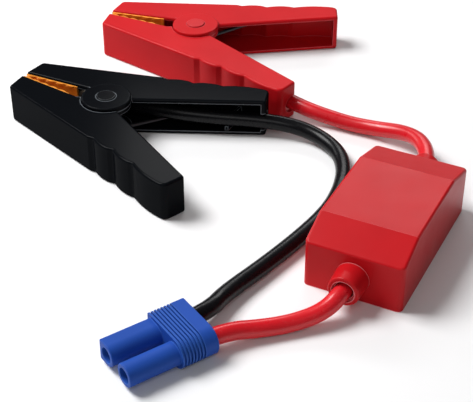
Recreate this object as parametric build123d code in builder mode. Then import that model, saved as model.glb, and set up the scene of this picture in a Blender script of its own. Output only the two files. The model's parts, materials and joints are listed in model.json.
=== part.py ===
"""Jumper clamp lead set: two spring clamps, a diode module in the positive lead and a two-pole plug.

Millimetres, +Z up. The set lies on a flat surface at z = 0 and the origin is under the middle of
the set. Each group has its own working plane: the clamps at their pivots, the module at the middle
of its base, and the plug at the middle of its cable end.
"""

import os
from math import acos, atan2, cos, degrees, hypot, pi, radians, sin, tan

from build123d import *

os.makedirs("parts", exist_ok=True)


def flat_plane(x, y, yaw):
    """A level working plane with its x direction turned by yaw degrees."""
    return Plane(origin=(x, y, 0), x_dir=(cos(radians(yaw)), sin(radians(yaw)), 0), z_dir=(0, 0, 1))


# Places of the four groups on the surface
BLACK_CLAMP = flat_plane(-47.8, 32.5, -30.3)
RED_CLAMP = flat_plane(-13.7, 94.3, -20.3)
MODULE = flat_plane(57.7, -42.0, -26.2)
PLUG = flat_plane(-7.2, -93.0, 214.0)

# Clamp: x runs from the nose (minus) to the handles, "out" is the distance from the centre line
REAR, FRONT = 1, -1
GRIP_HEIGHT = 16.0
GRIP_WALL = 1.8
CHEEK = 1.6
NOSE_IN = (-41.0, 1.4)
NOSE_OUT = (-40.2, 11.3)
THROAT = (-10.0, 3.9)
HEEL = (9.0, 5.1)
END_IN = (56.0, 30.2)
END_OUT = (52.8, 39.2)
RIDGES = [(9.6, 26.4), (20.8, 29.3), (32.6, 32.9)]
VALLEYS = [(12.2, 26.2), (23.1, 28.9), (34.6, 32.9)]
CRESTS = [(17.0, 28.6), (28.4, 31.9)]
LAST_CREST = (43.8, 37.4)
LONG_EDGE_ROUND = 1.0

# Pivot: the outer grip's lugs lie outside the inner grip's, on one rivet
DISC_RADIUS = 10.0
INNER_LUG_RADIUS = 9.8
LUG_POCKET_RADIUS = 10.3
DISC_TOP = 17.4
TOP_DISC = (15.2, DISC_TOP)
BOTTOM_DISC = (0.0, 2.0)
TOP_LUG = (13.2, 15.0)
BOTTOM_LUG = (2.2, 3.6)
LUG_ROOT_RADIUS = 14.0
PIN_RADIUS = 3.0
PIN_RUNNING_FIT = 0.05
HEAD_RADIUS = 3.9
HEAD_POCKET_RADIUS = 4.05
HEAD_RANGE = (16.6, 17.9)
CLIP_RANGE = (0.2, 1.1)

# Torsion spring round the rivet
WIRE_RADIUS = 0.8
COIL_RADIUS = 5.2
COIL_RANGE = (4.6, 12.2)
COIL_TURNS = 4
COIL_STEPS = 12
LEG_TIP = (26.0, 27.7)
LEG_DROP = 0.5

# Copper contact along each jaw
CONTACT_Z = (1.9, 14.1)
CONTACT_FACE_Z = (0.8, 15.2)
CONTACT_X = (-40.6, -16.5)
CONTACT_THICKNESS = 1.0
CONTACT_PROUD = 0.7
CONTACT_FACE_THICKNESS = 0.6
TOOTH_COUNT = 5
TOOTH_PITCH = 4.6
TOOTH_WIDTH = 3.8
TOOTH_DEPTH = 0.5
TOOTH_BAND = 0.9
CONTACT_SCREWS_X = (-33.0, -22.5)
SCREW_RADIUS = 1.4
SCREW_HEAD_RADIUS = 2.6
SCREW_LENGTH = 6.0
RIB_HALF_WIDTH = 2.5

# Cables: 8 AWG silicone lead
CABLE_DIAMETER = 6.2
CABLE_RADIUS = CABLE_DIAMETER / 2
EXIT_SLOT_RADIUS = 3.7
EXIT_SLOT = (32.4, 6.4)
CRADLE_X = 41.0
CRADLE_THICKNESS = 1.2
CRADLE_TOP = 7.0
CRADLE_SLOT = (25.3, 7.1)
CRIMP_RADIUS = 3.4
CRIMP_LENGTH = 11.4
CRIMP_GAP = 0.05

# Diode module
MODULE_WIDTH = 36.0
MODULE_LENGTH = 66.5
END_HEIGHT = 18.3
MIDDLE_HEIGHT = 23.2
FRONT_CREASE = 12.9
REAR_CREASE = 16.9
MODULE_WALL = 2.0
BASE_GAP = 0.15
BASE_THICKNESS = 2.0
BASE_RECESS = 0.0
POST_PLACE = (12.8, 27.3)
POST_RADIUS = 2.9
POST_BOTTOM = 2.3
GLAND_HEIGHT = 9.0
GLAND_RADIUS = 6.1
GLAND_REACH = 8.5
GLAND_NECK_RADIUS = 5.2
GLAND_FLANGE_RADIUS = 6.6
GLAND_FLANGE = 1.6
GLAND_BORE_RADIUS = 3.35
GLAND_MOUTH_RADIUS = 4.1
GLAND_MOUTH_DEPTH = 1.1
GLAND_TAPER = 3.2
CABLE_IN_GLAND = 9.05
BOARD_SIZE = (28.0, 44.0, 1.6)
BOARD_BOTTOM = 4.2
STANDOFF_PLACE = (11.0, 19.0)
STANDOFF_RADIUS = 2.6
DIODE_SIZE = (10.0, 8.6, 4.4)
DIODE_PITCH = (12.6, 10.2)
PAD_THICKNESS = 0.5
SPREADER_SIZE = (25.0, 32.0, 2.0)
TERMINAL_BARREL_RADIUS = 3.1
TERMINAL_BARREL_LENGTH = 13.0
TERMINAL_TONGUE = (7.0, 1.2)

# Plug: one squared and one round prong on a ribbed body
PLUG_HEIGHT = 10.8
PLUG_WIDTH = 22.0
PLUG_CENTRE_Z = 5.5
BODY_LENGTH = 13.5
TAIL_LENGTH = 5.1
RIB_PITCH = 1.2
RIB_COUNT = 7
GROOVE_WIDTH = 0.7
GROOVE_DEPTH = 0.95
PLUG_LENGTH = 32.0
PRONG_SPACING = 11.2
PRONG_RADIUS = 4.1
SOCKET_RADIUS = 2.5
SOCKET_OUTER_RADIUS = 3.1
SOCKET_RANGE = (13.0, 27.9)
CONTACT_BORE_RADIUS = 3.15
MOUTH_RADIUS = 2.75
CABLE_BORE_RADIUS = 3.6
CABLE_BORE_DEPTH = 10.0
CABLE_IN_PLUG = 3.25
SOCKET_SLIT = 0.6

# Routes, from the crimp in the clamp, or the plug, to the next fitting
BLACK_ROUTE = [
    (-47.2, 45.5, 8.7),
    (-29.2, 36.7, 8.7),
    (-8.1, 33.1, 7.6),
    (16.2, 32.1, 6.3),
    (29.8, 28.8, 5.0),
    (39.0, 22.1, 3.7),
    (44.6, 12.7, 3.1),
    (45.8, 0.9, 3.1),
    (43.2, -12.4, 3.1),
    (37.8, -25.9, 3.1),
    (27.2, -41.5, 3.1),
    (13.2, -58.7, 3.1),
    (0.4, -73.7, 3.8),
    (-5.1, -84.5, 5.3),
    (-12.8, -90.0, 5.5),
]
RED_CLAMP_ROUTE = [
    (-23.3, 85.6, 8.7),
    (-5.1, 77.3, 8.7),
    (11.1, 63.2, 7.6),
    (28.2, 44.2, 6.2),
    (48.7, 34.8, 3.3),
    (60.4, 29.7, 3.8),
    (69.6, 23.3, 6.4),
    (75.2, 15.5, 8.4),
    (77.4, 6.2, 9.0),
    (76.1, -4.5, 9.0),
    (72.1, -12.6, 9.0),
]
RED_PLUG_ROUTE = [
    (-6.6, -99.3, 5.5),
    (1.4, -94.1, 5.0),
    (11.7, -91.3, 3.5),
    (22.7, -88.3, 3.2),
    (33.0, -84.7, 5.2),
    (39.3, -79.4, 8.9),
    (43.2, -71.4, 9.0),
]


def save(part, label):
    """Label a finished piece and write it to its own STEP file."""
    part.label = label
    export_step(part, f"parts/{label}.step")


def span(part_range):
    """Length of a (low, high) range."""
    return part_range[1] - part_range[0]


def across(plane, side, x, out, z):
    """A plane whose normal points outwards from the clamp's centre line."""
    outward = plane.y_dir * side
    return Plane(origin=plane.from_local_coords((x, side * out, z)), x_dir=plane.x_dir, z_dir=outward)


def along(plane, side, x, out, z):
    """A plane whose normal runs towards the handles, with its x direction outwards."""
    outward = plane.y_dir * side
    return Plane(origin=plane.from_local_coords((x, side * out, z)), x_dir=outward, z_dir=plane.x_dir)


def jaw_edge(x):
    """How far out the jaw's inner edge is at x."""
    share = (x - NOSE_IN[0]) / (THROAT[0] - NOSE_IN[0])
    return NOSE_IN[1] + share * (THROAT[1] - NOSE_IN[1])


# ---------------------------------------------------------------- clamp grips


def grip_outline(side):
    """Plan outline of a grip: straight jaw, then a handle with finger scallops."""

    def at(point):
        return (point[0], side * point[1])

    with BuildLine() as outline:
        Polyline(at((0.0, 0.4)), at(THROAT), at(NOSE_IN), at(NOSE_OUT), at(RIDGES[0]), at(VALLEYS[0]))
        for i, crest in enumerate(CRESTS):
            ThreePointArc(at(VALLEYS[i]), at(crest), at(RIDGES[i + 1]))
            Line(at(RIDGES[i + 1]), at(VALLEYS[i + 1]))
        ThreePointArc(at(VALLEYS[-1]), at(LAST_CREST), at(END_OUT))
        Polyline(at(END_OUT), at(END_IN), at(HEEL), at((0.0, 0.4)))
    return outline.line


def corner(sketch, side, point):
    """The sketch vertex nearest to a named corner of the outline."""
    return sketch.vertices().sort_by_distance((point[0], side * point[1]))[0]


def is_outer_rim(plane, side, edge):
    """True for the level edges of a grip's outside, from the nose round to the handle's end."""
    middle = plane.to_local_coords(edge @ 0.5)
    level = abs((edge @ 0).Z - (edge @ 1).Z) < 0.01
    return level and side * middle.Y > 6 + max(0, 0.45 * middle.X)


def grip(plane, side, outer_lugs, holds_cable):
    """One moulded grip, hollow and open towards the other grip."""
    outline = grip_outline(side)

    def at(x, out):
        return (x, side * out)

    with BuildPart() as shell:
        with BuildSketch(plane) as plan:
            make_face(outline.edges())
            fillet(corner(plan, side, NOSE_OUT), 2.0)
            fillet(corner(plan, side, NOSE_IN), 0.6)
            fillet(corner(plan, side, END_OUT), 2.6)
            fillet(corner(plan, side, END_IN), 1.2)
            fillet([corner(plan, side, ridge) for ridge in RIDGES], 1.1)
            fillet([corner(plan, side, valley) for valley in VALLEYS], 0.9)
        extrude(amount=GRIP_HEIGHT)
        rim = shell.edges().filter_by(lambda edge: is_outer_rim(plane, side, edge))
        fillet(rim, LONG_EDGE_ROUND)

        # The hollow follows the outside and opens through the inner edges
        with BuildSketch(plane.offset(CHEEK)):
            make_face(outline.edges())
            offset(amount=-GRIP_WALL, mode=Mode.REPLACE)
            with BuildLine():
                Polyline(at(-39.2, -2), at(-39.2, 5), at(-8, 8), at(6, 8), at(53.5, 31.3), at(54.8, 28),
                         at(6, -2), at(-39.2, -2))
            make_face()
            with BuildLine():
                Polyline(at(-42, -1), at(-42, 3.1), at(-39, 3.1), at(-39, -1), at(-42, -1))
            make_face()
        extrude(amount=GRIP_HEIGHT - 2 * CHEEK, mode=Mode.SUBTRACT)

        # Ribs behind the contact take its screws
        for x in CONTACT_SCREWS_X:
            rear = jaw_edge(x) - CONTACT_PROUD + CONTACT_THICKNESS + 0.2
            wall = NOSE_OUT[1] + (x - NOSE_OUT[0]) * 0.3 - 1
            with BuildSketch(plane.offset(CHEEK - 0.2)):
                with Locations(at(x, (rear + wall) / 2)):
                    Rectangle(2 * RIB_HALF_WIDTH, wall - rear)
            extrude(amount=GRIP_HEIGHT - 2 * CHEEK + 0.4)
            with BuildSketch(across(plane, side, x, rear - 0.5, GRIP_HEIGHT / 2)):
                Circle(SCREW_RADIUS)
            extrude(amount=SCREW_LENGTH, mode=Mode.SUBTRACT)

        # Pivot lugs
        if outer_lugs:
            with BuildSketch(plane.offset(CHEEK)):
                Circle(LUG_POCKET_RADIUS)
            extrude(amount=TOP_DISC[0] - CHEEK, mode=Mode.SUBTRACT)
            for low, high in (BOTTOM_DISC, TOP_DISC):
                with BuildSketch(plane.offset(low)):
                    Circle(DISC_RADIUS)
                extrude(amount=high - low)
            crown = shell.edges().filter_by(GeomType.CIRCLE).sort_by(Axis.Z)[-1]
            fillet(crown, 0.6)
            for low, high in ((HEAD_RANGE[0], DISC_TOP + 1), (-1, CLIP_RANGE[1] + 0.1)):
                with BuildSketch(plane.offset(low)):
                    Circle(HEAD_POCKET_RADIUS)
                extrude(amount=high - low, mode=Mode.SUBTRACT)
        else:
            for low, high in ((CHEEK - 0.6, BOTTOM_LUG[1]), TOP_LUG):
                with BuildSketch(plane.offset(low)):
                    make_face(outline.edges())
                    Circle(LUG_ROOT_RADIUS, mode=Mode.INTERSECT)
                extrude(amount=high - low)
            for low, high in ((-1, BOTTOM_LUG[0]), (TOP_LUG[1], GRIP_HEIGHT + 1)):
                with BuildSketch(plane.offset(low)):
                    Circle(LUG_POCKET_RADIUS)
                extrude(amount=high - low, mode=Mode.SUBTRACT)
            for low, high in (BOTTOM_LUG, TOP_LUG):
                with BuildSketch(plane.offset(low)):
                    Circle(INNER_LUG_RADIUS)
                extrude(amount=high - low)
        with BuildSketch(plane.offset(-1)):
            Circle(PIN_RADIUS + PIN_RUNNING_FIT)
        extrude(amount=DISC_TOP + 2, mode=Mode.SUBTRACT)

        # The cable leaves through a slot in the end wall, after a cradle rib
        if holds_cable:
            far_x = CRADLE_X + CRADLE_THICKNESS
            with BuildSketch(plane.offset(CHEEK - 0.2)):
                with BuildLine():
                    Polyline(at(CRADLE_X, 23.5), at(CRADLE_X, 35.0), at(far_x, 35.4), at(far_x, 24.1),
                             at(CRADLE_X, 23.5))
                make_face()
            extrude(amount=CRADLE_TOP - CHEEK + 0.2)
            for x, (out, z), depth in ((50.0, EXIT_SLOT, 8.0), (CRADLE_X - 1, CRADLE_SLOT, 4.0)):
                with BuildSketch(along(plane, side, x, out, z)):
                    Circle(EXIT_SLOT_RADIUS)
                    with Locations((-4, 0)):
                        Rectangle(8, 2 * EXIT_SLOT_RADIUS)
                extrude(amount=depth, mode=Mode.SUBTRACT)
    return shell.part


# ---------------------------------------------------------------- clamp contacts and pivot


def jaw_contact(plane, side):
    """Copper strip along a jaw's inner edge, with rounded teeth on its upper and lower rims."""

    def at(x, out):
        return (x, side * out)

    def face(x):
        return jaw_edge(x) - CONTACT_PROUD

    low, high = CONTACT_X
    with BuildPart() as contact:
        with BuildSketch(plane.offset(CONTACT_Z[0])):
            with BuildLine():
                Polyline(at(low, face(low)), at(high, face(high)), at(high, face(high) + CONTACT_THICKNESS),
                         at(low, face(low) + CONTACT_THICKNESS), at(low, face(low)))
            make_face()
        extrude(amount=span(CONTACT_Z))
        with BuildSketch(plane.offset(CONTACT_FACE_Z[0])):
            with BuildLine():
                Polyline(at(low, face(low)), at(high, face(high)),
                         at(high, face(high) + CONTACT_FACE_THICKNESS),
                         at(low, face(low) + CONTACT_FACE_THICKNESS), at(low, face(low)))
            make_face()
        extrude(amount=span(CONTACT_FACE_Z))
        for z in (CONTACT_FACE_Z[0], CONTACT_FACE_Z[1] - TOOTH_BAND):
            with BuildSketch(plane.offset(z)):
                for i in range(TOOTH_COUNT):
                    start = low + 0.4 + i * TOOTH_PITCH
                    middle, end = start + TOOTH_WIDTH / 2, start + TOOTH_WIDTH
                    with BuildLine():
                        ThreePointArc(at(start, face(start)), at(middle, face(middle) - TOOTH_DEPTH),
                                      at(end, face(end)))
                        Polyline(at(end, face(end)), at(end, face(end) + CONTACT_FACE_THICKNESS),
                                 at(start, face(start) + CONTACT_FACE_THICKNESS), at(start, face(start)))
                    make_face()
            extrude(amount=TOOTH_BAND)
        for x in CONTACT_SCREWS_X:
            with BuildSketch(across(plane, side, x, face(x) - 0.1, GRIP_HEIGHT / 2)):
                Circle(SCREW_HEAD_RADIUS + 0.1)
            extrude(amount=CONTACT_THICKNESS + 0.2, taper=45, mode=Mode.SUBTRACT)
            with BuildSketch(across(plane, side, x, face(x) - 0.1, GRIP_HEIGHT / 2)):
                Circle(SCREW_RADIUS + 0.1)
            extrude(amount=2 * CONTACT_THICKNESS, mode=Mode.SUBTRACT)
    return contact.part


def contact_screws(plane, side):
    """Countersunk screws that hold a contact to the ribs behind it."""
    with BuildPart() as screws:
        for x in CONTACT_SCREWS_X:
            seat = jaw_edge(x) - CONTACT_PROUD
            with BuildSketch(across(plane, side, x, seat, GRIP_HEIGHT / 2)):
                Circle(SCREW_HEAD_RADIUS)
            extrude(amount=SCREW_HEAD_RADIUS - SCREW_RADIUS, taper=45)
            with BuildSketch(across(plane, side, x, seat, GRIP_HEIGHT / 2)):
                Circle(SCREW_RADIUS - 0.02)
            extrude(amount=SCREW_LENGTH)
    return screws.part


def pivot_rivet(plane):
    """Headed rivet on the pivot axis."""
    with BuildPart() as rivet:
        with BuildSketch(plane.offset(CLIP_RANGE[0] - 0.1)):
            Circle(PIN_RADIUS)
        extrude(amount=HEAD_RANGE[0] - CLIP_RANGE[0] + 0.2)
        with BuildSketch(plane.offset(HEAD_RANGE[0] + 0.05)):
            Circle(HEAD_RADIUS)
        extrude(amount=span(HEAD_RANGE) - 0.05)
        fillet(rivet.edges().sort_by(Axis.Z)[-1], 0.4)
    return rivet.part


def rivet_clip(plane):
    """Push-on ring that keeps the rivet's lower end."""
    with BuildPart() as clip:
        with BuildSketch(plane.offset(CLIP_RANGE[0])):
            Circle(HEAD_RADIUS)
            Circle(PIN_RADIUS, mode=Mode.SUBTRACT)
        extrude(amount=span(CLIP_RANGE))
    return clip.part


def torsion_spring(plane, fixed_side):
    """Coil round the rivet; its lower leg bears on the fixed grip and its upper leg on the lever."""
    reach = hypot(*LEG_TIP)
    root_angle = degrees(atan2(LEG_TIP[1], LEG_TIP[0])) - degrees(acos(COIL_RADIUS / reach))
    swept = COIL_TURNS * 360 + 2 * root_angle
    steps = COIL_TURNS * COIL_STEPS

    def place(x, out, z):
        return plane.from_local_coords((x, fixed_side * out, z))

    turns = []
    for i in range(steps + 1):
        angle = radians(root_angle - swept * i / steps)
        height = COIL_RANGE[0] + span(COIL_RANGE) * i / steps
        turns.append(place(COIL_RADIUS * cos(angle), COIL_RADIUS * sin(angle), height))
    lower_tip = place(LEG_TIP[0], LEG_TIP[1], COIL_RANGE[0] - LEG_DROP)
    upper_tip = place(LEG_TIP[0], -LEG_TIP[1], COIL_RANGE[1])

    with BuildPart() as spring:
        with BuildLine() as wire:
            Line(lower_tip, turns[0])
            ends = ((turns[0] - lower_tip).normalized(), (upper_tip - turns[-1]).normalized())
            Spline(*turns, tangents=ends, tangent_scalars=(1, 1))
            Line(turns[-1], upper_tip)
        with BuildSketch(Plane(origin=lower_tip, z_dir=turns[0] - lower_tip)):
            Circle(WIRE_RADIUS)
        sweep(path=wire.line)
    return spring.part


def cable_lug(plane, side, route):
    """Crimp barrel on the cable's end with a foot soldered to the back of the contact."""

    def at(x, out):
        return (x, side * out)

    heading = (Vector(*route[0]) - Vector(*route[1])).normalized()
    start = Vector(*route[0]) + heading * CRIMP_GAP
    foot = jaw_edge(-18) - CONTACT_PROUD + CONTACT_THICKNESS
    with BuildPart() as lug:
        with BuildSketch(Plane(origin=start, z_dir=heading)):
            Circle(CRIMP_RADIUS)
        extrude(amount=CRIMP_LENGTH)
        with BuildSketch(plane.offset(start.Z - CRIMP_RADIUS + 0.4)):
            with BuildLine():
                Polyline(at(-17.9, 12.4), at(-16.6, 12.4), at(-16.6, foot + 0.16), at(-19.4, foot - 0.06),
                         at(-19.4, foot + 1.0), at(-17.9, foot + 1.2), at(-17.9, 12.4))
            make_face()
        extrude(amount=2 * CRIMP_RADIUS - 0.8)
    return lug.part


CLAMPS = (("black", BLACK_CLAMP, REAR, BLACK_ROUTE), ("red", RED_CLAMP, FRONT, RED_CLAMP_ROUTE))
SIDE_NAMES = {REAR: "rear", FRONT: "front"}

for colour, clamp, fixed_side, route in CLAMPS:
    for side in (REAR, FRONT):
        name = f"{colour}_{SIDE_NAMES[side]}"
        save(grip(clamp, side, side == REAR, side == fixed_side), f"{name}_grip")
        save(jaw_contact(clamp, side), f"{name}_contact")
        save(contact_screws(clamp, side), f"{name}_contact_screws")
    save(pivot_rivet(clamp), f"{colour}_pivot_rivet")
    save(rivet_clip(clamp), f"{colour}_rivet_clip")
    save(torsion_spring(clamp, fixed_side), f"{colour}_torsion_spring")
    save(cable_lug(clamp, fixed_side, route), f"{colour}_cable_lug")

# ---------------------------------------------------------------- diode module

FRONT_Y = -MODULE_LENGTH / 2
REAR_Y = MODULE_LENGTH / 2
HALF_WIDTH = MODULE_WIDTH / 2
POSTS = [(x * POST_PLACE[0], y * POST_PLACE[1]) for x in (-1, 1) for y in (-1, 1)]
STANDOFFS = [(x * STANDOFF_PLACE[0], y * STANDOFF_PLACE[1]) for x in (-1, 1) for y in (-1, 1)]


def module_side(x):
    """Upright plane across the module at x, with its own x along the module and its y up."""
    return Plane(origin=MODULE.from_local_coords((x, 0, 0)), x_dir=MODULE.y_dir, z_dir=MODULE.x_dir)


def module_end(y, facing, z=GLAND_HEIGHT):
    """Upright plane at y on the module's centre line, facing its front (-1) or rear (+1) end."""
    return Plane(origin=MODULE.from_local_coords((0, y, z)), z_dir=MODULE.y_dir * facing)


SIDE_PROFILE = [
    (FRONT_Y, 0),
    (FRONT_Y, END_HEIGHT),
    (FRONT_Y + FRONT_CREASE, MIDDLE_HEIGHT),
    (REAR_Y - REAR_CREASE, MIDDLE_HEIGHT),
    (REAR_Y, END_HEIGHT),
    (REAR_Y, 0),
    (FRONT_Y, 0),
]

with BuildPart() as cavity:
    with BuildSketch(module_side(MODULE_WALL - HALF_WIDTH)):
        with BuildLine():
            Polyline(*SIDE_PROFILE)
        make_face()
        offset(amount=-MODULE_WALL, kind=Kind.INTERSECTION, mode=Mode.REPLACE)
        with Locations((0, 0.5)):
            Rectangle(MODULE_LENGTH - 2 * MODULE_WALL, 5)
    extrude(amount=MODULE_WIDTH - 2 * MODULE_WALL)
    with BuildSketch(MODULE.offset(POST_BOTTOM)):
        with Locations(*POSTS):
            Circle(POST_RADIUS)
    extrude(amount=MIDDLE_HEIGHT, mode=Mode.SUBTRACT)

with BuildPart() as module_cover:
    with BuildSketch(module_side(-HALF_WIDTH)):
        with BuildLine():
            Polyline(*SIDE_PROFILE)
        make_face()
    extrude(amount=MODULE_WIDTH)
    fillet(module_cover.edges().filter_by(Axis.Z), 2.0)
    upper = module_cover.edges().filter_by(lambda edge: (edge @ 0.5).Z > END_HEIGHT / 2 + 2)
    creases = upper.filter_by(lambda edge: abs((edge @ 0.5).Z - MIDDLE_HEIGHT) < 0.01)
    creases = creases.filter_by(lambda edge: abs((edge % 0).dot(MODULE.x_dir)) > 0.99)
    rounded = [edge for edge in upper if edge not in creases and abs((edge % 0).Z) < 0.9]
    fillet(rounded, 1.0)
    add(cavity.part, mode=Mode.SUBTRACT)
    for y, facing in ((FRONT_Y, -1), (REAR_Y, 1)):
        with BuildSketch(module_end(y + facing, facing)):
            Circle(GLAND_NECK_RADIUS + 0.1)
        extrude(amount=-(MODULE_WALL + 2), mode=Mode.SUBTRACT)
    with BuildSketch(MODULE.offset(POST_BOTTOM - 1)):
        with Locations(*POSTS):
            Circle(1.1)
    extrude(amount=10, mode=Mode.SUBTRACT)
save(module_cover.part, "module_cover")

with BuildPart() as module_base:
    with BuildSketch(MODULE.offset(BASE_RECESS)):
        RectangleRounded(
            MODULE_WIDTH - 2 * (MODULE_WALL + BASE_GAP), MODULE_LENGTH - 2 * (MODULE_WALL + BASE_GAP), 0.6
        )
    extrude(amount=BASE_THICKNESS)
    with BuildSketch(MODULE.offset(BASE_THICKNESS)):
        with Locations(*STANDOFFS):
            Circle(STANDOFF_RADIUS)
    extrude(amount=BOARD_BOTTOM - BASE_THICKNESS)
    with BuildSketch(MODULE.offset(-0.5)):
        with Locations(*POSTS):
            Circle(1.4)
    extrude(amount=4, mode=Mode.SUBTRACT)
    with BuildSketch(MODULE.offset(-0.01)):
        with Locations(*POSTS):
            Circle(2.7)
    extrude(amount=1.3, taper=45, mode=Mode.SUBTRACT)
    with BuildSketch(MODULE.offset(BOARD_BOTTOM)):
        with Locations(*STANDOFFS):
            Circle(0.9)
    extrude(amount=-3, mode=Mode.SUBTRACT)
save(module_base.part, "module_base")

with BuildPart() as base_screws:
    with BuildSketch(MODULE.offset(0.1)):
        with Locations(*POSTS):
            Circle(2.5)
    extrude(amount=1.2, taper=45)
    with BuildSketch(MODULE.offset(0.1)):
        with Locations(*POSTS):
            Circle(1.08)
    extrude(amount=9)
save(base_screws.part, "base_screws")

for name, y, facing in (("front_gland", FRONT_Y, -1), ("rear_gland", REAR_Y, 1)):
    with BuildPart() as gland:
        with BuildSketch(module_end(y, facing)):
            Circle(GLAND_RADIUS)
        extrude(amount=GLAND_REACH, taper=GLAND_TAPER)
        rim = gland.edges().filter_by(GeomType.CIRCLE).sort_by(
            lambda edge: facing * MODULE.to_local_coords(edge.arc_center).Y
        )[-1]
        fillet(rim, 0.7)
        with BuildSketch(module_end(y, facing)):
            Circle(GLAND_NECK_RADIUS)
        extrude(amount=-MODULE_WALL)
        with BuildSketch(module_end(y - facing * MODULE_WALL, facing)):
            Circle(GLAND_FLANGE_RADIUS)
        extrude(amount=-GLAND_FLANGE)
        with BuildSketch(module_end(y - facing * 6, facing)):
            Circle(GLAND_BORE_RADIUS)
        extrude(amount=20, mode=Mode.SUBTRACT)
        with BuildSketch(module_end(y + facing * (GLAND_REACH - GLAND_MOUTH_DEPTH), facing)):
            Circle(GLAND_MOUTH_RADIUS)
        extrude(amount=GLAND_MOUTH_DEPTH + 1, mode=Mode.SUBTRACT)
    save(gland.part, name)

with BuildPart() as circuit_board:
    with BuildSketch(MODULE.offset(BOARD_BOTTOM)):
        RectangleRounded(BOARD_SIZE[0], BOARD_SIZE[1], 1.0)
        with Locations(*STANDOFFS):
            Circle(1.1, mode=Mode.SUBTRACT)
    extrude(amount=BOARD_SIZE[2])
save(circuit_board.part, "circuit_board")

BOARD_TOP = BOARD_BOTTOM + BOARD_SIZE[2]
DIODE_TOP = BOARD_TOP + DIODE_SIZE[2]

with BuildPart() as board_screws:
    with BuildSketch(MODULE.offset(BOARD_TOP)):
        with Locations(*STANDOFFS):
            Circle(2.0)
    extrude(amount=1.2)
    with BuildSketch(MODULE.offset(BOARD_TOP)):
        with Locations(*STANDOFFS):
            Circle(0.88)
    extrude(amount=-4)
save(board_screws.part, "board_screws")

with BuildPart() as power_diodes:
    with BuildSketch(MODULE.offset(BOARD_TOP)):
        with GridLocations(DIODE_PITCH[0], DIODE_PITCH[1], 2, 3):
            Rectangle(DIODE_SIZE[0], DIODE_SIZE[1])
    extrude(amount=DIODE_SIZE[2])
    chamfer(power_diodes.edges().group_by(Axis.Z)[-1], 0.4)
save(power_diodes.part, "power_diodes")

with BuildPart() as thermal_pad:
    with BuildSketch(MODULE.offset(DIODE_TOP)):
        Rectangle(SPREADER_SIZE[0] - 1, SPREADER_SIZE[1] - 1)
    extrude(amount=PAD_THICKNESS)
save(thermal_pad.part, "thermal_pad")

with BuildPart() as heat_spreader:
    with BuildSketch(MODULE.offset(DIODE_TOP + PAD_THICKNESS)):
        RectangleRounded(SPREADER_SIZE[0], SPREADER_SIZE[1], 1.0)
    extrude(amount=SPREADER_SIZE[2])
save(heat_spreader.part, "heat_spreader")

CABLE_END_Y = MODULE_LENGTH / 2 + GLAND_REACH - CABLE_IN_GLAND
for name, facing in (("output_terminal", -1), ("input_terminal", 1)):
    start_y = facing * CABLE_END_Y
    with BuildPart() as terminal:
        with BuildSketch(module_end(start_y, facing)):
            Circle(TERMINAL_BARREL_RADIUS)
        extrude(amount=-TERMINAL_BARREL_LENGTH)
        with BuildSketch(MODULE.offset(BOARD_TOP)):
            with Locations((0, facing * 19.0)):
                Rectangle(TERMINAL_TONGUE[0], 6.0)
        extrude(amount=TERMINAL_TONGUE[1])
    save(terminal.part, name)

# ---------------------------------------------------------------- plug


def plug_section(x):
    """Upright plane across the plug, x from its cable end, with its own x across and its y up."""
    return Plane(
        origin=PLUG.from_local_coords((x, 0, PLUG_CENTRE_Z)), x_dir=PLUG.y_dir, z_dir=PLUG.x_dir
    )


def half_round_outline(width, height, centre=0.0, shrink=0.0):
    """Closed outline with a squared end at minus and a half-round end at plus."""
    half = height / 2 - shrink
    left = centre - width / 2 + shrink
    right = centre + width / 2 - shrink
    with BuildLine() as outline:
        Polyline((right - half, half), (left, half), (left, -half), (right - half, -half))
        ThreePointArc((right - half, -half), (right, 0), (right - half, half))
    return outline.line


with BuildPart() as plug_housing:
    with BuildSketch(plug_section(0)) as section:
        make_face(half_round_outline(PLUG_WIDTH, PLUG_HEIGHT).edges())
        fillet(section.vertices().sort_by(Axis.X)[:2], 1.0)
    extrude(amount=BODY_LENGTH)
    fillet(plug_housing.faces().sort_by(lambda face: PLUG.to_local_coords(face.center()).X)[0].edges(), 0.4)
    for i in range(RIB_COUNT):
        start = TAIL_LENGTH + i * RIB_PITCH
        with BuildSketch(plug_section(start)) as ring:
            Rectangle(2 * PLUG_WIDTH, 2 * PLUG_HEIGHT)
            core = half_round_outline(PLUG_WIDTH, PLUG_HEIGHT, shrink=GROOVE_DEPTH)
            make_face(core.edges(), mode=Mode.SUBTRACT)
        extrude(amount=GROOVE_WIDTH, mode=Mode.SUBTRACT)
    with BuildSketch(plug_section(BODY_LENGTH)) as prongs:
        squared = half_round_outline(2 * PRONG_RADIUS, 2 * PRONG_RADIUS, centre=-PRONG_SPACING / 2)
        make_face(squared.edges())
        fillet(prongs.vertices().sort_by(Axis.X)[:2], 0.8)
        with Locations((PRONG_SPACING / 2, 0)):
            Circle(PRONG_RADIUS)
    extrude(amount=PLUG_LENGTH - BODY_LENGTH)
    tips = plug_housing.faces().sort_by(lambda face: PLUG.to_local_coords(face.center()).X)[-2:]
    fillet([edge for tip in tips for edge in tip.edges()], 0.35)
    for start, end, radius in (
        (-1.0, CABLE_BORE_DEPTH, CABLE_BORE_RADIUS),
        (CABLE_BORE_DEPTH - 0.1, SOCKET_RANGE[1] + 0.1, CONTACT_BORE_RADIUS),
        (SOCKET_RANGE[1], PLUG_LENGTH + 1, MOUTH_RADIUS),
    ):
        with BuildSketch(plug_section(start)):
            with Locations((-PRONG_SPACING / 2, 0), (PRONG_SPACING / 2, 0)):
                Circle(radius)
        extrude(amount=end - start, mode=Mode.SUBTRACT)
save(plug_housing.part, "plug_housing")

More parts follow.
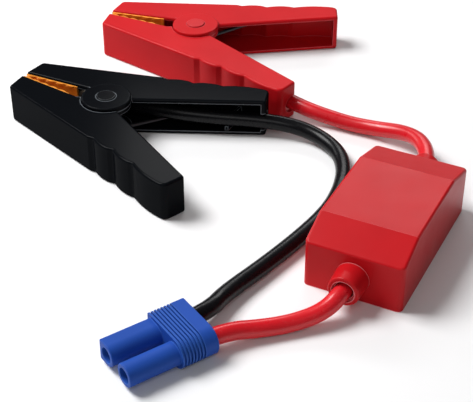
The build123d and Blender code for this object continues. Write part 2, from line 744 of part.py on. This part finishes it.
for name, offset_y in (("negative_socket", -PRONG_SPACING / 2), ("positive_socket", PRONG_SPACING / 2)):
    with BuildPart() as socket:
        with BuildSketch(plug_section(CABLE_IN_PLUG)):
            with Locations((offset_y, 0)):
                Circle(SOCKET_OUTER_RADIUS)
        extrude(amount=SOCKET_RANGE[1] - CABLE_IN_PLUG)
        with BuildSketch(plug_section(SOCKET_RANGE[0])):
            with Locations((offset_y, 0)):
                Circle(SOCKET_RADIUS)
        extrude(amount=span(SOCKET_RANGE) + 1, mode=Mode.SUBTRACT)
        with BuildSketch(plug_section(SOCKET_RANGE[0] + 4)):
            with Locations((offset_y, 0)):
                Rectangle(4 * SOCKET_RADIUS, SOCKET_SLIT)
        extrude(amount=span(SOCKET_RANGE), mode=Mode.SUBTRACT)
    save(socket.part, name)

# ---------------------------------------------------------------- cables


def cable(points):
    """Tube of straight runs and tangent arcs through the route's points."""
    points = [Vector(*point) for point in points]
    radii = []
    for before, here, after in zip(points, points[1:], points[2:]):
        turn = radians((here - before).get_angle(after - here))
        shorter = min((here - before).length, (after - here).length)
        radii.append(0.45 * shorter / tan(turn / 2))
    with BuildPart() as tube:
        with BuildLine() as route:
            FilletPolyline(*points, radius=radii)
        with BuildSketch(Plane(origin=route.line @ 0, z_dir=route.line % 0)):
            Circle(CABLE_RADIUS)
        sweep(path=route.line)
    length = sum(edge.length for edge in route.edges())
    print("radii", [round(radius, 1) for radius in radii], "length", round(length, 1))
    print("volume over section times length", round(tube.part.volume / (pi * CABLE_RADIUS**2 * length), 4))
    return tube.part


save(cable(BLACK_ROUTE), "black_cable")
save(cable(RED_CLAMP_ROUTE), "red_clamp_cable")
save(cable(RED_PLUG_ROUTE), "red_plug_cable")
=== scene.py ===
import json
from math import acos, atan2, cos, hypot, pi, radians, sin

import bmesh
import bpy
from mathutils import Matrix, Vector


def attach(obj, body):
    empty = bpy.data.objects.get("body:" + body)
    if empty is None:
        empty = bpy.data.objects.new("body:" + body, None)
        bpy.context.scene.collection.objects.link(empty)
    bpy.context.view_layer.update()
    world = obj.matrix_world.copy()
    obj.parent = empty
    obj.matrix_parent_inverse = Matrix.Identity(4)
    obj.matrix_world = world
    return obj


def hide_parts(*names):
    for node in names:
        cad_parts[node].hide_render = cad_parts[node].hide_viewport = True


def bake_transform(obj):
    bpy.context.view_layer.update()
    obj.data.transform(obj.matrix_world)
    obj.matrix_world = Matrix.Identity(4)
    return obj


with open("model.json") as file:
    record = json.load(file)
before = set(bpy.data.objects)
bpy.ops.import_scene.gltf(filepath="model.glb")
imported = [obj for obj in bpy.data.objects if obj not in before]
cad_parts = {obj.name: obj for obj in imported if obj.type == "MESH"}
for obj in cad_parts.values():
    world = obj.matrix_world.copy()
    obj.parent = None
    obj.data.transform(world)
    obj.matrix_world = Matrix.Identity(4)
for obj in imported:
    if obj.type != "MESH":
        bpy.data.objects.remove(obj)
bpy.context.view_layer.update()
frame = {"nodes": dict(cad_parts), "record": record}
scene = bpy.context.scene
MM = 0.001


def mm(*point):
    """A point in metres from one in millimetres."""
    return Vector(point) * MM


# ---------------------------------------------------------------- camera

CAMERA_LENS = 96.5
CAMERA_SENSOR = 36
CAMERA_PLACE = (4.2, -402.5, 277.1)
CAMERA_LOOKS_DOWN = 35.57

cam_data = bpy.data.cameras.new("camera")
cam_data.lens = CAMERA_LENS
cam_data.sensor_width = CAMERA_SENSOR
camera = bpy.data.objects.new("camera", cam_data)
camera.location = mm(*CAMERA_PLACE)
camera.rotation_euler = (radians(90 - CAMERA_LOOKS_DOWN), 0, 0)
scene.collection.objects.link(camera)
scene.camera = camera

# ---------------------------------------------------------------- materials


class Nodes:
    """A new material's node tree, with short calls to add and link nodes."""

    def __init__(self, name):
        self.material = bpy.data.materials.new(name)
        self.material.use_nodes = True
        self.tree = self.material.node_tree
        self.shader = self.tree.nodes["Principled BSDF"]
        self.place = self.add("ShaderNodeTexCoord").outputs["Object"]

    def add(self, kind, **sockets):
        node = self.tree.nodes.new(kind)
        for key, value in sockets.items():
            node.inputs[key.replace("_", " ")].default_value = value
        return node

    def link(self, a, b):
        self.tree.links.new(a, b)

    def noise(self, scale, detail=3.0, roughness=0.5, vector=None):
        node = self.add("ShaderNodeTexNoise", Scale=scale, Detail=detail, Roughness=roughness)
        self.link(vector or self.place, node.inputs["Vector"])
        return node.outputs["Fac"]

    def ramp(self, value, stops):
        node = self.add("ShaderNodeValToRGB")
        self.link(value, node.inputs["Fac"])
        elements = node.color_ramp.elements
        for i, (position, colour) in enumerate(stops):
            element = elements[i] if i < 2 else elements.new(position)
            element.position = position
            element.color = (*colour, 1)
        return node.outputs["Color"]

    def grey(self, value, low, high, start=0.3, end=0.7):
        node = self.add("ShaderNodeMapRange")
        node.inputs["From Min"].default_value = start
        node.inputs["From Max"].default_value = end
        node.inputs["To Min"].default_value = low
        node.inputs["To Max"].default_value = high
        self.link(value, node.inputs["Value"])
        return node.outputs["Result"]

    def mix(self, fac, a, b):
        node = self.add("ShaderNodeMix")
        node.data_type = "RGBA"
        self.link(fac, node.inputs["Factor"])
        for socket, value in ((node.inputs[6], a), (node.inputs[7], b)):
            if isinstance(value, tuple):
                socket.default_value = (*value, 1)
            else:
                self.link(value, socket)
        return node.outputs[2]

    def bump(self, *layers):
        """Stack (height, strength, distance) bumps and feed the shader's normal."""
        normal = None
        for height, strength, distance in layers:
            node = self.add("ShaderNodeBump", Strength=strength, Distance=distance)
            self.link(height, node.inputs["Height"])
            if normal:
                self.link(normal, node.inputs["Normal"])
            normal = node.outputs["Normal"]
        self.link(normal, self.shader.inputs["Normal"])

    def edge_highlight_mask(self):
        """One on a sharp edge, falling to nothing on a flat face: the mask for a painted edge
        highlight.
        """
        bevel = self.add("ShaderNodeBevel", Radius=0.0006)
        bevel.samples = 8
        geometry = self.add("ShaderNodeNewGeometry")
        agree = self.add("ShaderNodeVectorMath")
        agree.operation = "DOT_PRODUCT"
        self.link(bevel.outputs["Normal"], agree.inputs[0])
        self.link(geometry.outputs["Normal"], agree.inputs[1])
        return self.grey(agree.outputs["Value"], 1.0, 0.0, 0.94, 0.997)

    def finish(self, colour, roughness, **sockets):
        self.link(colour, self.shader.inputs["Base Color"])
        self.link(roughness, self.shader.inputs["Roughness"])
        for key, value in sockets.items():
            self.shader.inputs[key.replace("_", " ")].default_value = value
        return self.material


def shade(colour, factor):
    """A colour made darker or lighter, with no channel above one."""
    return tuple(min(1, c * factor) for c in colour)


def plastic(name, colour, light, roughness, grain=0.1, coat=0.0, specular=0.5, highlight_strength=0.55):
    """Moulded plastic: fine spark-eroded grain, faint flow marks, edges lightened by a painted
    highlight.
    """
    n = Nodes(name)
    cloud = n.noise(38, 4)
    body = n.ramp(cloud, [(0.32, shade(colour, 0.93)), (0.7, shade(colour, 1.05))])
    # painted highlight: the bevel mask mixes the edges towards the light colour
    edges = n.grey(n.edge_highlight_mask(), 0.0, highlight_strength, 0.0, 1.0)
    tone = n.mix(edges, body, light)
    smudge = n.noise(90, 5, 0.6)
    sheen = n.grey(smudge, roughness - 0.035, roughness + 0.045)
    fine = n.noise(5200, 2, 0.5)
    sink = n.noise(55, 2)
    n.bump((sink, 0.05, 0.0006), (fine, grain, 0.00006))
    return n.finish(
        tone, sheen, Coat_Weight=coat, Coat_Roughness=0.16, Specular_IOR_Level=specular
    )


def silicone(name, colour, light, roughness, coat, specular):
    """Cable jacket: smooth, with faint drawn lines and a trace of dust."""
    n = Nodes(name)
    cloud = n.noise(60, 4)
    body = n.ramp(cloud, [(0.3, shade(colour, 0.9)), (0.72, shade(colour, 1.08))])
    dust = n.grey(n.noise(900, 3, 0.7), 0.0, 0.10, 0.56, 0.75)
    tone = n.mix(dust, body, light)
    sheen = n.grey(n.noise(160, 4), roughness - 0.04, roughness + 0.05)
    n.bump((n.noise(220, 3), 0.06, 0.0003), (n.noise(3500, 2), 0.06, 0.00005))
    return n.finish(
        tone, sheen, Coat_Weight=coat, Coat_Roughness=0.2, Specular_IOR_Level=specular
    )


def metal(name, colour, dark, roughness, metallic=1.0):
    """Formed metal: fine scratches, tarnish in random patches."""
    n = Nodes(name)
    cloud = n.noise(320, 5, 0.65)
    stain = n.grey(cloud, 0.0, 0.35, 0.42, 0.72)
    tone = n.mix(stain, colour, dark)
    stretch = n.add("ShaderNodeMapping")
    stretch.inputs["Scale"].default_value = (1, 9, 1)
    n.link(n.place, stretch.inputs["Vector"])
    lines = n.noise(1400, 3, 0.6, stretch.outputs["Vector"])
    sheen = n.grey(lines, roughness - 0.07, roughness + 0.09)
    n.bump((lines, 0.12, 0.00006))
    return n.finish(tone, sheen, Metallic=metallic)


# For the plastic finishes the second colour is a painted edge highlight; for silicone it is the
# dust colour, for metal the tarnish colour.
FINISHES = {
    "black_plastic": (
        plastic,
        (0.0032, 0.0038, 0.0050),
        (0.18, 0.20, 0.22),
        0.27,
        {"grain": 0.04, "coat": 0.07, "specular": 0.0, "highlight_strength": 0.9},
    ),
    "red_plastic": (
        plastic,
        (0.52, 0.007, 0.011),
        (0.68, 0.09, 0.105),
        0.40,
        {"grain": 0.06, "coat": 0.06, "specular": 0.08, "highlight_strength": 0.7},
    ),
    "module_plastic": (
        plastic,
        (0.50, 0.006, 0.010),
        (0.84, 0.24, 0.26),
        0.36,
        {"grain": 0.06, "coat": 0.04, "specular": 0.13, "highlight_strength": 1.0},
    ),
    "blue_plastic": (plastic, (0.015, 0.070, 0.37), (0.05, 0.15, 0.50), 0.5, {"specular": 0.14}),
    "copper": (metal, (1.0, 0.36, 0.03), (0.50, 0.17, 0.02), 0.38, {"metallic": 0.6}),
    "rivet_steel": (
        plastic,
        (0.0035, 0.004, 0.005),
        (0.26, 0.28, 0.30),
        0.24,
        {"grain": 0.05, "coat": 0.16, "specular": 0.0, "highlight_strength": 0.9},
    ),
    "red_rivet_steel": (
        plastic,
        (0.52, 0.007, 0.012),
        (0.72, 0.12, 0.14),
        0.36,
        {"grain": 0.05, "specular": 0.2},
    ),
    "screw_steel": (metal, (0.56, 0.56, 0.58), (0.25, 0.24, 0.22), 0.3, {}),
    "spring_steel": (metal, (0.06, 0.06, 0.065), (0.03, 0.03, 0.03), 0.38, {}),
    "clip_steel": (metal, (0.5, 0.5, 0.52), (0.2, 0.2, 0.2), 0.35, {}),
    "tinned_copper": (metal, (0.70, 0.64, 0.55), (0.35, 0.26, 0.18), 0.36, {}),
    "contact_brass": (metal, (0.85, 0.60, 0.24), (0.4, 0.26, 0.1), 0.25, {}),
    "board_green": (plastic, (0.01, 0.13, 0.05), (0.1, 0.3, 0.15), 0.3, {}),
    "diode_black": (plastic, (0.02, 0.02, 0.02), (0.07, 0.07, 0.07), 0.55, {}),
    "pad_grey": (plastic, (0.30, 0.34, 0.42), (0.4, 0.44, 0.5), 0.8, {}),
    "spreader_aluminium": (metal, (0.78, 0.79, 0.8), (0.5, 0.5, 0.5), 0.3, {}),
    "black_silicone": (
        silicone,
        (0.004, 0.004, 0.005),
        (0.04, 0.04, 0.045),
        0.26,
        {"coat": 0.0, "specular": 0.16},
    ),
    "red_silicone": (
        silicone,
        (0.66, 0.008, 0.016),
        (0.75, 0.3, 0.3),
        0.30,
        {"coat": 0.08, "specular": 0.42},
    ),
}

MATERIALS = {
    name: make(name, colour, accent, roughness, **extras)
    for name, (make, colour, accent, roughness, extras) in FINISHES.items()
}

OVERRIDES = {
    "module_cover": "module_plastic",
    "module_base": "module_plastic",
    "front_gland": "module_plastic",
    "rear_gland": "module_plastic",
    "red_pivot_rivet": "red_rivet_steel",
}

for subpart in frame["record"]["subparts"]:
    node = frame["nodes"][subpart["node"]]
    material = MATERIALS[OVERRIDES.get(subpart["node"], subpart["material_slot"])]
    node.data.materials.clear()
    node.data.materials.append(material)

# ---------------------------------------------------------------- cables

CABLE_DIAMETER = 6.2
BLACK_ROUTE = [
    (-47.2, 45.5, 8.7),
    (-29.2, 36.7, 8.7),
    (-8.1, 33.1, 7.6),
    (16.2, 32.1, 6.3),
    (29.8, 28.8, 5.0),
    (39.0, 22.1, 3.7),
    (44.6, 12.7, 3.1),
    (45.8, 0.9, 3.1),
    (43.2, -12.4, 3.1),
    (37.8, -25.9, 3.1),
    (27.2, -41.5, 3.1),
    (13.2, -58.7, 3.1),
    (0.4, -73.7, 3.8),
    (-5.1, -84.5, 5.3),
    (-12.8, -90.0, 5.5),
]
RED_CLAMP_ROUTE = [
    (-23.3, 85.6, 8.7),
    (-5.1, 77.3, 8.7),
    (11.1, 63.2, 7.6),
    (28.2, 44.2, 6.2),
    (48.7, 34.8, 3.3),
    (60.4, 29.7, 3.8),
    (69.6, 23.3, 6.4),
    (75.2, 15.5, 8.4),
    (77.4, 6.2, 9.0),
    (76.1, -4.5, 9.0),
    (72.1, -12.6, 9.0),
]
RED_PLUG_ROUTE = [
    (-6.6, -99.3, 5.5),
    (1.4, -94.1, 5.0),
    (11.7, -91.3, 3.5),
    (22.7, -88.3, 3.2),
    (33.0, -84.7, 5.2),
    (39.3, -79.4, 8.9),
    (43.2, -71.4, 9.0),
]


def cable(name, route, material, node):
    """A free cable on one smooth NURBS line through its route."""
    data = bpy.data.curves.new(name, "CURVE")
    data.dimensions = "3D"
    data.bevel_depth = CABLE_DIAMETER / 2 * MM
    data.bevel_resolution = 8
    data.resolution_u = 16
    data.use_fill_caps = True
    spline = data.splines.new("NURBS")
    spline.points.add(len(route) - 1)
    for point, place in zip(spline.points, route):
        point.co = (*mm(*place), 1)
    spline.order_u = 3
    spline.use_endpoint_u = True
    obj = bpy.data.objects.new(name, data)
    scene.collection.objects.link(obj)
    data.materials.append(MATERIALS[material])
    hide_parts(node)
    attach(obj, "base")


cable("black_lead", BLACK_ROUTE, "black_silicone", "black_cable")
cable("red_clamp_lead", RED_CLAMP_ROUTE, "red_silicone", "red_clamp_cable")
cable("red_plug_lead", RED_PLUG_ROUTE, "red_silicone", "red_plug_cable")

# ---------------------------------------------------------------- springs

REAR, FRONT = 1, -1
WIRE_RADIUS = 0.8
COIL_RADIUS = 5.2
COIL_Z = (4.6, 12.2)
COIL_TURNS = 4
LEG_TIP = (26.0, 27.7)
LEG_DROP = 0.5
STEPS_PER_TURN = 32


def torsion_spring(name, pivot, yaw, fixed_side, node):
    """Wire coil with a lower leg and an upper leg, made into a mesh that stands in for the CAD
    spring.
    """
    reach = hypot(*LEG_TIP)
    root = atan2(LEG_TIP[1], LEG_TIP[0]) - acos(COIL_RADIUS / reach)
    swept = COIL_TURNS * 2 * pi + 2 * root
    steps = COIL_TURNS * STEPS_PER_TURN
    turn = Matrix.Rotation(radians(yaw), 4, "Z")

    def place(x, out, z):
        return (Vector((*pivot, 0)) + turn @ Vector((x, fixed_side * out, z))) * MM

    points = [place(LEG_TIP[0], LEG_TIP[1], COIL_Z[0] - LEG_DROP)]
    for i in range(steps + 1):
        angle = root - swept * i / steps
        height = COIL_Z[0] + (COIL_Z[1] - COIL_Z[0]) * i / steps
        points.append(place(COIL_RADIUS * cos(angle), COIL_RADIUS * sin(angle), height))
    points.append(place(LEG_TIP[0], -LEG_TIP[1], COIL_Z[1]))

    data = bpy.data.curves.new(name + "_wire", "CURVE")
    data.dimensions = "3D"
    data.bevel_depth = WIRE_RADIUS * MM
    data.bevel_resolution = 3
    data.use_fill_caps = True
    spline = data.splines.new("POLY")
    spline.points.add(len(points) - 1)
    for point, position in zip(spline.points, points):
        point.co = (*position, 1)
    wire = bpy.data.objects.new(name + "_wire", data)
    scene.collection.objects.link(wire)
    graph = bpy.context.evaluated_depsgraph_get()
    mesh = bpy.data.meshes.new_from_object(wire.evaluated_get(graph))
    bpy.data.objects.remove(wire)
    for polygon in mesh.polygons:
        polygon.use_smooth = True
    mesh.materials.clear()
    mesh.materials.append(MATERIALS["spring_steel"])
    spring = bpy.data.objects.new(name, mesh)
    scene.collection.objects.link(spring)
    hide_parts(node)
    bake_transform(spring)


torsion_spring("black_spring", (-47.8, 32.5), -30.3, REAR, "black_torsion_spring")
torsion_spring("red_spring", (-13.7, 94.3), -20.3, FRONT, "red_torsion_spring")

# ---------------------------------------------------------------- floor and light

FLOOR_HALF_WIDTH = 4.0
WORLD_STRENGTH = 0.11

floor_data = bpy.data.meshes.new("floor")
floor_mesh = bmesh.new()
bmesh.ops.create_grid(floor_mesh, x_segments=1, y_segments=1, size=FLOOR_HALF_WIDTH)
floor_mesh.to_mesh(floor_data)
floor = bpy.data.objects.new("floor", floor_data)
scene.collection.objects.link(floor)
floor_nodes = Nodes("floor_paper")
floor_tone = floor_nodes.ramp(
    floor_nodes.noise(3, 2), [(0.3, (0.86, 0.86, 0.865)), (0.7, (0.88, 0.88, 0.885))]
)
floor_sheen = floor_nodes.grey(floor_nodes.noise(40), 0.85, 0.92)
floor_nodes.finish(floor_tone, floor_sheen, Specular_IOR_Level=0.1)
floor_data.materials.append(floor_nodes.material)

world = bpy.data.worlds.new("studio")
world.use_nodes = True
background = world.node_tree.nodes["Background"]
background.inputs["Color"].default_value = (1, 1, 1, 1)
background.inputs["Strength"].default_value = WORLD_STRENGTH
scene.world = world


def area_light(name, place, target, size, power, size_y=None):
    """A soft rectangular light aimed at a point."""
    data = bpy.data.lights.new(name, "AREA")
    data.shape = "RECTANGLE"
    data.size = size
    data.size_y = size_y or size
    data.energy = power
    light = bpy.data.objects.new(name, data)
    light.location = place
    light.rotation_euler = (Vector(target) - Vector(place)).to_track_quat("-Z", "Y").to_euler()
    scene.collection.objects.link(light)


area_light("key", (-0.62, 0.20, 0.92), (0, 0, 0), 0.55, 15.5)
area_light("fill", (-0.10, -0.85, 0.75), (0, 0, 0), 0.5, 1.8)
area_light("rim", (0.16, 0.80, 0.60), (0, 0, 0.01), 0.6, 2.0, 0.14)
area_light("edge", (-0.5, 0.5, 0.25), (0, 0.02, 0.01), 0.1, 0.7, 0.5)
scene.view_settings.view_transform = "Standard"
